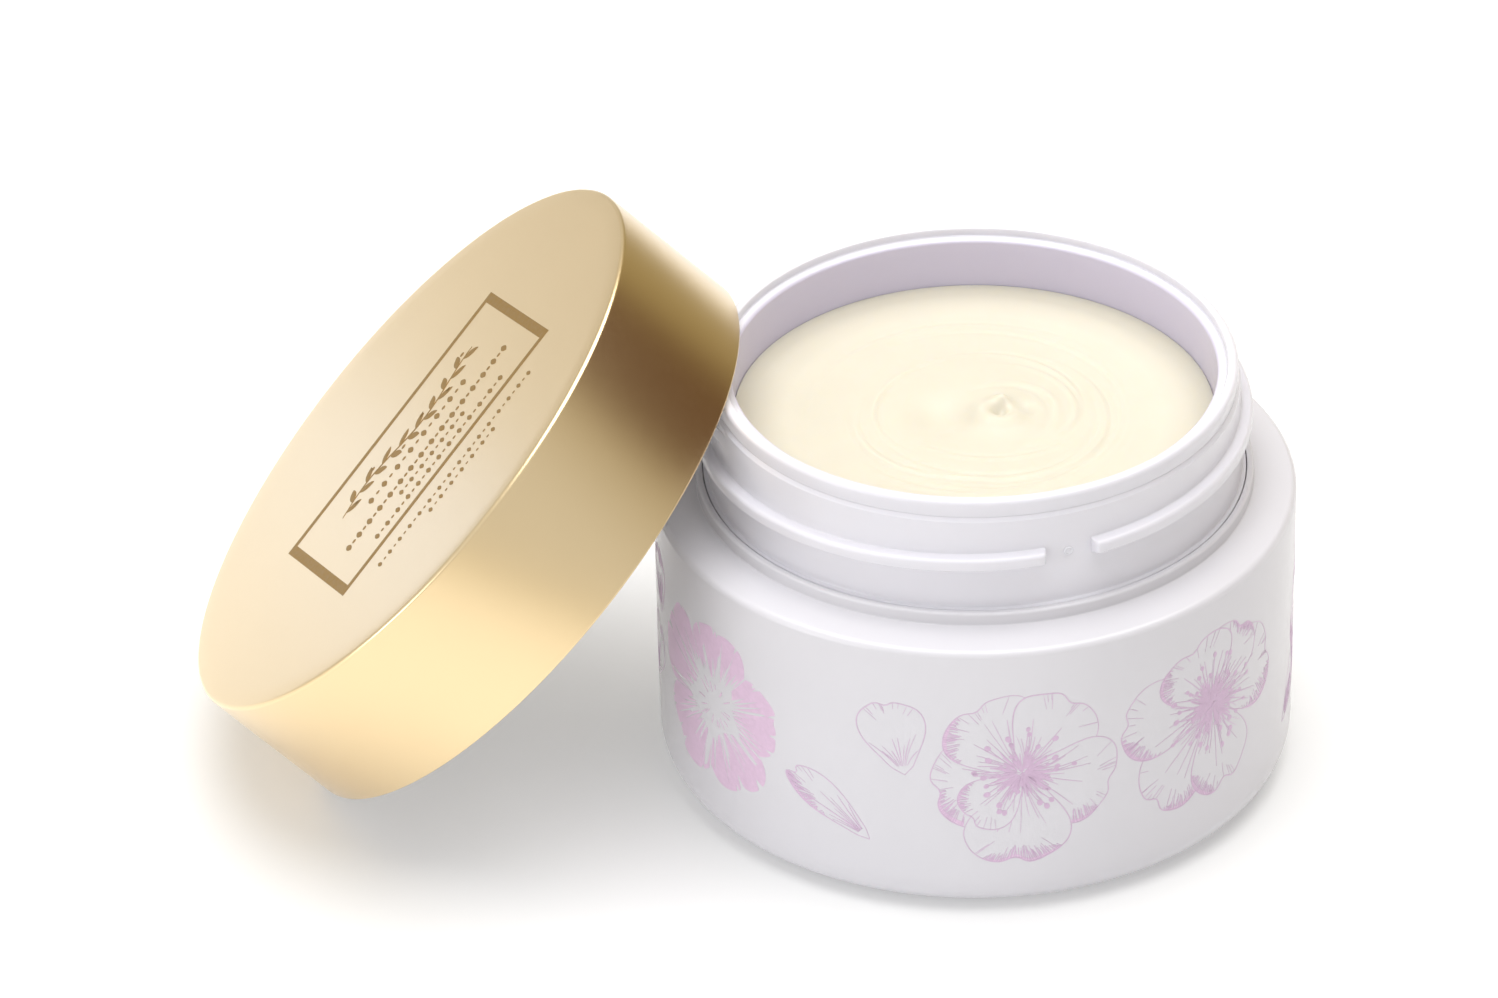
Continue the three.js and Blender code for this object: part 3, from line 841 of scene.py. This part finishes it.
def plastic(name, colour, rough, translucent=0.0, painted_well_shade=None):
    """Moulded plastic: faint colour drift, uneven gloss and the fine waviness of a mould.

    A well colour is painted shade: it darkens the inside of the cup, between its mouth and the
    cream.
    """
    material, tree, shader, where = new_material(name)
    shade = drifting(tree, noise(tree, where, 45.0, 2.0), colour, 0.985, 1.012)
    if painted_well_shade:
        # painted shade on the inside of the cup
        shade = mixed(tree, beyond(tree, where, *PAINTED_WELL_SHADE_R), painted_well_shade, shade)
    fine = noise(tree, where, 900.0, 4.0)
    feed(tree, shader, {
        "Base Color": shade, "Roughness": remap(tree, fine, rough - 0.02, rough + 0.02),
        "IOR": 1.49,
    })
    relief(tree, shader, fine, *PLASTIC_RELIEF)
    if translucent:
        feed(tree, shader, {
            "Subsurface Weight": translucent, "Subsurface Radius": (1.0, 0.85, 0.8),
            "Subsurface Scale": 0.0012,
        })
    return material


def gold(name, colour, rough):
    """Satin metal: a fine grain and a little drift in colour and gloss."""
    material, tree, shader, where = new_material(name)
    fine = noise(tree, where, 2200.0, 5.0, 0.6)
    feed(tree, shader, {
        "Base Color": drifting(tree, noise(tree, where, 30.0, 2.0), colour, 0.985, 1.01),
        "Roughness": remap(tree, fine, rough - 0.015, rough + 0.015),
        "Metallic": 1.0, "Coat Weight": 0.6, "Coat Roughness": 0.2,
    })
    relief(tree, shader, fine, *GOLD_RELIEF)
    return material


def cream_material(name, colour, rough):
    """Soft cream: a little cloudy and translucent, with painted shade that darkens it towards the
    cup's wall.
    """
    material, tree, shader, where = new_material(name)
    shade = drifting(tree, noise(tree, where, 130.0, 3.0), colour, 0.985, 1.01)
    # painted shade towards the cup's wall
    rim = beyond(tree, where, *CREAM_PAINTED_SHADE_R)
    soft = noise(tree, where, 420.0, 4.0)
    feed(tree, shader, {
        "Base Color": mixed(tree, rim, shade, tint(colour, CREAM_PAINTED_SHADE_TINT)),
        "Roughness": remap(tree, soft, rough - 0.06, rough + 0.06), "IOR": 1.4,
        "Subsurface Weight": 0.35, "Subsurface Radius": (1.0, 0.8, 0.5),
        "Subsurface Scale": 0.002,
    })
    relief(tree, shader, soft, *CREAM_RELIEF)
    return material


def foam(name, colour):
    """Closed-cell foam sheet: small cells and a dull skin."""
    material, tree, shader, where = new_material(name)
    cells = add(tree, "ShaderNodeTexVoronoi", {"Vector": where, "Scale": 1700.0}, feature="F1")
    cells = cells.outputs["Distance"]
    feed(tree, shader, {
        "Base Color": mixed(tree, cells, tint(colour, 1.02), tint(colour, 0.9)),
        "Roughness": remap(tree, cells, 0.62, 0.8, 0, 1),
    })
    relief(tree, shader, cells, *FOAM_RELIEF, invert=True)
    return material


def ink(name, colour, rough, metallic=0.0):
    """Screen-printed ink, a little uneven from the mesh it was pressed through."""
    material, tree, shader, where = new_material(name)
    grain = noise(tree, where, 1500.0, 3.0)
    feed(tree, shader, {
        "Base Color": drifting(tree, grain, colour, 0.96, 1.04),
        "Roughness": remap(tree, grain, rough - 0.05, rough + 0.05), "Metallic": metallic,
    })
    return material


WHITE = plastic("jar_white", (0.635, 0.625, 0.66), 0.235)
# The cup's inside takes painted shade, a darker lilac well colour.
CUP_WHITE = plastic(
    "cup_white", (0.695, 0.685, 0.735), 0.235, translucent=0.12, painted_well_shade=(0.595, 0.56, 0.69),
)
CAP_WHITE = plastic("cap_white", (0.75, 0.745, 0.74), 0.42)
GOLD = gold("lid_gold", (0.87, 0.68, 0.40), 0.30)
CREAM = cream_material("cream", (0.64, 0.60, 0.495), 0.40)
FOAM = foam("seal_foam", (0.86, 0.85, 0.81))
LILAC = ink("print_lilac", (0.66, 0.485, 0.635), 0.36)
LILAC_LINE = ink("print_lilac_line", (0.575, 0.42, 0.57), 0.36)
GOLD_INK = ink("print_gold", (0.34, 0.20, 0.045), 0.45, 0.8)


# ---- the jar's and the lid's pieces ----
make_object(
    "jar_shell", turned(outer_jar_profile(), closed=True), WHITE, "jar", ["outer_jar"],
)
make_object("jar_base", turned(base_plate_profile()), WHITE, "jar", ["base_plate"])
make_object("cup", cup_mesh(), CUP_WHITE, "jar", ["inner_cup"])
make_object("cup_mould_dot", mould_dot_mesh(), CUP_WHITE, "jar")
make_object("cream", cream_mesh(), CREAM, "jar", ["cream_fill"], sharp=60)
make_object(
    "lid_gold_shell", turned(lid_shell_profile()), GOLD, "lid", ["lid_shell"],
    LID_TO_WORLD,
)
make_object("lid_cap", cap_mesh(), CAP_WHITE, "lid", ["lid_inner_cap"], LID_TO_WORLD)
make_object(
    "lid_seal_foam", turned(seal_disc_profile()), FOAM, "lid_seal", ["lid_seal_disc"],
    LID_TO_WORLD,
)


# ---- blossom print round the jar ----
PRINT_PROUD, PRINT_SUNK, PRINT_STEP, PRINT_SEED = 0.018, 0.03, 0.8, 7
LINES_OVER_FILLS = 1.1


def on_jar(u, v, height):
    """A place on the jar's wall: u along the wall in mm from azimuth 0, v up, height off it."""
    r = body_r(v) + height
    return on_circle(r, v, math.degrees(u / BODY_LOW_R))


def along_wall(az):
    """How far along the wall an azimuth lies, mm."""
    return math.radians(az) * BODY_LOW_R


# Filled blossoms: azimuth, height, turn and size of each. Their petals: turn, length, half angle.
SOLID_BLOSSOMS = [(-142.5, 20.0, 0, 1.0), (58.0, 18.5, 25, 0.95)]
SOLID_PETALS = [
    (12, 10.9, 36), (85, 11.2, 35.5), (156, 13.6, 34.5), (226, 12.8, 34.5), (298, 11.5, 36),
]

# Line blossoms' petals: turn, length, width, bend and folds, a fold being the two ends of its run
# along the outline and its depth. The blossoms: azimuth, height, turn, size, petals, stamens and
# the heart's radius.
WIDE_PETALS = [
    (192, 11.2, 15.0, 0.05, [(0.50, 0.93, 0.22)]), (124, 11.6, 15.5, -0.05, [(0.60, 0.92, 0.15)]),
    (56, 12.0, 14.5, 0.03, []), (342, 12.2, 15.5, 0.04, [(0.08, 0.34, 0.14)]),
    (268, 13.4, 16.5, -0.03, [(0.34, 0.74, 0.17)]), (226, 9.4, 9.6, 0.02, [(0.1, 0.4, 0.12)]),
]
TALL_PETALS = [
    (226, 14.6, 14.0, 0.06, [(0.60, 0.92, 0.12)]), (284, 13.4, 13.5, -0.04, [(0.12, 0.4, 0.14)]),
    (168, 14.2, 14.0, 0.05, [(0.60, 0.90, 0.13)]), (12, 12.8, 15.5, -0.06, [(0.06, 0.40, 0.17)]),
    (58, 11.2, 13.0, 0.02, [(0.3, 0.6, 0.12)]), (110, 10.6, 15.5, 0.02, [(0.66, 0.94, 0.13)]),
]
LINE_BLOSSOMS = [
    (-80.4, 20.4, 0, 1.0, WIDE_PETALS, 26, 5.8), (-41.5, 22.3, 0, 1.0, TALL_PETALS, 34, 6.4),
    (8.0, 19.5, 40, 0.96, WIDE_PETALS, 26, 5.8), (108.0, 20.5, 75, 1.0, TALL_PETALS, 32, 6.0),
    (160.0, 19.0, 150, 0.97, WIDE_PETALS, 26, 5.8),
]

# Loose petals: azimuth and height of the foot, turn, length, width, bend and folds.
LOOSE_PETALS = [
    (-101.2, 19.8, 104, 10.8, 10.8, 0.0, []),
    (-107.8, 9.6, 139, 13.2, 6.6, 0.12, [(0.58, 0.94, 0.26)]),
    (-166.5, 24.0, 96, 9.0, 7.5, 0.05, [(0.2, 0.6, 0.22)]),
    (-14.0, 9.0, 35, 11.0, 7.0, 0.10, [(0.1, 0.4, 0.2)]),
    (33.0, 26.0, 250, 11.0, 8.5, -0.06, [(0.6, 0.9, 0.18)]),
    (80.0, 27.5, 300, 10.5, 6.5, 0.10, [(0.1, 0.45, 0.2)]),
    (86.0, 9.5, 60, 9.5, 9.0, 0.0, []),
    (135.0, 12.0, 110, 11.5, 7.0, 0.08, [(0.55, 0.9, 0.2)]),
    (186.0, 12.0, 70, 10.5, 9.5, 0.0, []),
]


def jar_print():
    """The print's filled areas and its pen lines."""
    rng = random.Random(PRINT_SEED)
    fills = Artwork(on_jar, PRINT_PROUD, PRINT_SUNK, PRINT_STEP)
    art = Artwork(on_jar, PRINT_PROUD * LINES_OVER_FILLS, PRINT_SUNK, PRINT_STEP, fills)
    for az, z, turn, size in SOLID_BLOSSOMS:
        petals = [(a + turn, length * size, spread) for a, length, spread in SOLID_PETALS]
        draw_solid_blossom(fills, rng, (along_wall(az), z), petals)
    for az, z, turn, size, petals, stamens, heart in LINE_BLOSSOMS:
        sized = [(a + turn, length * size, width * size, bend, folds)
                 for a, length, width, bend, folds in petals]
        draw_blossom(art, rng, (along_wall(az), z), sized, stamens, heart * size)
    for az, z, turn, length, width, bend, folds in LOOSE_PETALS:
        petal = Petal(rng, (along_wall(az), z), turn, length, width, bend)
        draw_petal(art, rng, petal, [], folds, 10, loose=True)
    return fills.finish(), art.finish()


blossom_fills, blossom_lines = jar_print()
make_object("jar_blossom_fills", blossom_fills, LILAC, "jar")
make_object("jar_blossom_lines", blossom_lines, LILAC_LINE, "jar")


# ---- ornament printed on the lid ----
LABEL_TURN, LABEL_CENTRE, LABEL_W, LABEL_H = 27.9, (1.9, -1.3), 40.5, 25.4
LABEL_PROUD, LABEL_SUNK, LABEL_STEP = 0.02, 0.03, 4.0
FRAME_LINE, FRAME_BAR = 0.95, 1.4  # widths of its long and short sides
SPRIG = (-12.8, 13.4, 4.9, 1.15)  # from, to, height, sway
BEAD_ROWS = [  # from, to, height on the label, pitch, size
    (-9.0, 9.2, 0.4, 1.30, 1.9), (-15.2, 15.4, -3.9, 1.02, 1.9), (-6.0, 6.0, -6.7, 1.0, 1.5),
    (-12.0, 12.2, -9.7, 1.0, 1.6), (-14.5, 14.6, -17.0, 0.97, 1.35), (-5.6, 6.6, -19.4, 1.01, 1.35),
]


def label_place(u, v, height):
    """A place on the lid's top, in the lid's own frame."""
    return (*placed(u, v, LABEL_CENTRE, math.radians(LABEL_TURN)), LID_H + height)


def leaf(art, foot, turn, length, width):
    """A pointed leaf from its foot."""
    steps, sides = 8, []
    for side in (1, -1):
        sides.append([])
        for k in range(steps + 1):
            swell = math.sin(math.pi * (k + 0.15) / (steps + 0.3)) ** 0.8
            sides[-1].append(placed(length * k / steps, side * width / 2 * swell, foot, turn))
    art.patch(sides[0], sides[1], 2)


def sprig(art, u0, u1, v, sway):
    """A waving stem with a leaf on each side in turn and a berry between them."""
    steps, leaves = 40, 17

    def stem(u):
        return v + sway * math.sin((u - u0) / (u1 - u0) * 2.5 * math.pi)

    along = [u0 + (u1 - u0) * k / steps for k in range(steps + 1)]
    art.stroke([(u, stem(u)) for u in along], 0.34, 0.4)
    for i in range(leaves):
        u = u0 + 0.8 + (u1 - u0 - 2.6) * i / (leaves - 1)
        side = 1 if i % 2 else -1
        slope = math.atan2(stem(u + 0.1) - stem(u - 0.1), 0.2)
        leaf(art, (u, stem(u)), slope + side * 0.85, 2.8, 1.15)
        if i % 3 == 1:
            art.dot(u + 0.3, stem(u) - side * 1.35, 0.36)


def bead_row(art, u0, u1, v, pitch, height):
    """Lozenges and dots in turn along a line."""
    count = round((u1 - u0) / pitch)
    for i in range(count + 1):
        u = u0 + (u1 - u0) * i / count
        if i % 2:
            art.dot(u, v, height * 0.17)
        else:
            leaf(art, (u, v - height / 2), math.pi / 2, height, height * 0.46)


def lid_ornament():
    """A plain frame with a sprig and rows of beads."""
    art = Artwork(label_place, LABEL_PROUD, LABEL_SUNK, LABEL_STEP)
    w, h = LABEL_W / 2, LABEL_H / 2
    line, bar = FRAME_LINE / 2, FRAME_BAR / 2
    for v in (-h, h):
        art.strip([(-w, v + line), (w, v + line)], [(-w, v - line), (w, v - line)])
    for u in (-w + bar, w - bar):
        art.strip([(u - bar, -h), (u - bar, h)], [(u + bar, -h), (u + bar, h)])
    sprig(art, *SPRIG)
    for row in BEAD_ROWS:
        bead_row(art, *row)
    return art.finish()


make_object("lid_ornament", lid_ornament(), GOLD_INK, "lid", to_world=LID_TO_WORLD)


# ---- floor, light and camera ----
FLOOR_HALF, FLOOR_DROP = 4.0, 0.00005
# Painted light and shade on the floor: it glows, more near the jar, to lift shadows, and its colour
# dims and warms far off as painted shade.
FLOOR_NEAR, FLOOR_FAR_PAINTED_SHADE = [(0.66, 0.66, 0.66), (0.675, 0.675, 0.675)], (0.61, 0.57, 0.48)
FLOOR_PAINTED_FADE_R = (0.22, 0.50)  # past here the floor dims and warms, which the gold mirrors
FLOOR_PAINTED_GLOW = (0.25, 0.17)

WORLD_COLOUR = (0.72, 0.72, 0.72)
# Patches of the surroundings, each laid over those before it: direction, the angles from it in
# degrees between which it fades out, and colour.
WORLD_PATCHES = [
    ((0.80, 0.60, 0.25), 10, 85, (0.36, 0.29, 0.13)),  # warm and dim, to the right and behind
    ((0.866, 0.25, 0.432), 10, 34, (0.09, 0.03, 0.001)),  # its dark heart: the skirt's dark band
    ((-0.50, 0.84, 0.18), 5, 42, (0.63, 0.595, 0.51)),  # a paler one, behind on the left
]

# Disc lights: name, place, target, diameter in metres, watts, colour, seen by the camera.
LIGHTS = [
    ("overhead", (0.02, 0.05, 0.75), (0.0, 0, 0), 0.9, 7.2),
    ("key_left", (-0.75, -0.85, 0.26), (-0.01, 0, 0.03), 0.5, 1.1),
    ("left_low", (-0.80, -0.55, 0.10), (-0.03, 0, 0.02), 0.4, 1.4),
    ("lid_card", (-0.25, 0.25, 0.008), (-0.09, 0.01, 0.02), 0.05, 0.0048, (0.55, 0.85, 1.5), False),
]

# The camera's turn, downward tilt and roll in degrees; its place; its lens and sensor in mm.
CAMERA_ANGLES = (2.5868883, 32.4979139, -0.8249458)
CAMERA_PLACE = (0.031962, -1.315619, 0.873371)
CAMERA_LENS, SENSOR_WIDTH = 308.276, 36.0


def floor():
    """Pale paper with painted light: it glows a little, more near the jar, and painted shade dims
    and warms it far off.
    """
    material, tree, shader, where = new_material("floor_paper")
    # painted shade and glow, fading with distance from the jar
    far = beyond(tree, where, *FLOOR_PAINTED_FADE_R)
    drift = remap(tree, noise(tree, where, 6.0, 2.0), 0, 1)
    feed(tree, shader, {
        "Base Color": mixed(tree, far, mixed(tree, drift, *FLOOR_NEAR), FLOOR_FAR_PAINTED_SHADE),
        "Emission Strength": remap(tree, far, *FLOOR_PAINTED_GLOW, 0, 1), "Emission Color": (1, 1, 1, 1),
        "Roughness": 0.9, "Specular IOR Level": 0.1,
    })
    bm = bmesh.new()
    bm.faces.new([bm.verts.new((x * FLOOR_HALF, y * FLOOR_HALF, -FLOOR_DROP))
                  for x, y in ((-1, -1), (1, -1), (1, 1), (-1, 1))])
    sheet = mesh_object("floor", bm, material)


def area_light(name, place, target, size, power, colour=(1, 1, 1), seen=True):
    """A disc light that points at a target."""
    light = bpy.data.lights.new(name, "AREA")
    light.shape = "DISK"
    light.size, light.energy, light.color = size, power, colour
    lamp = in_scene(name, light)
    lamp.visible_camera = seen
    lamp.location = place
    aim = Vector(target) - Vector(place)
    lamp.rotation_mode = "QUATERNION"
    lamp.rotation_quaternion = aim.to_track_quat("-Z", "Y")


def studio_world():
    """Even surroundings with the patches laid over them."""
    world = bpy.data.worlds.new("studio")
    bpy.context.scene.world = world
    world.use_nodes = True
    tree = world.node_tree
    background = next(n for n in tree.nodes if n.type == "BACKGROUND")
    where = add(tree, "ShaderNodeTexCoord").outputs["Generated"]
    shade = WORLD_COLOUR
    for direction, inner, outer, colour in WORLD_PATCHES:
        dot = add(tree, "ShaderNodeVectorMath", {0: where, 1: Vector(direction).normalized()},
                  operation="DOT_PRODUCT")
        share = remap(
            tree, dot.outputs["Value"], 0, 1, math.cos(math.radians(outer)),
            math.cos(math.radians(inner)), interpolation_type="SMOOTHSTEP",
        )
        shade = mixed(tree, share, shade, colour)
    feed(tree, background, {"Color": shade, "Strength": 1.0})


def camera():
    """A long lens at the photo's viewing angle."""
    azimuth, down, roll = (math.radians(a) for a in CAMERA_ANGLES)
    data = bpy.data.cameras.new("camera")
    data.lens, data.sensor_width, data.sensor_fit = CAMERA_LENS, SENSOR_WIDTH, "HORIZONTAL"
    data.clip_start, data.clip_end = 0.1, 20.0
    eye = in_scene("camera", data)
    eye.matrix_world = (
        Matrix.Translation(CAMERA_PLACE) @ Matrix.Rotation(azimuth, 4, "Z")
        @ Matrix.Rotation(math.pi / 2 - down, 4, "X") @ Matrix.Rotation(roll, 4, "Z")
    )
    bpy.context.scene.camera = eye


floor()
studio_world()
for light in LIGHTS:
    area_light(*light)
camera()
bpy.context.scene.view_settings.view_transform = "Standard"

bpy.context.view_layer.update()
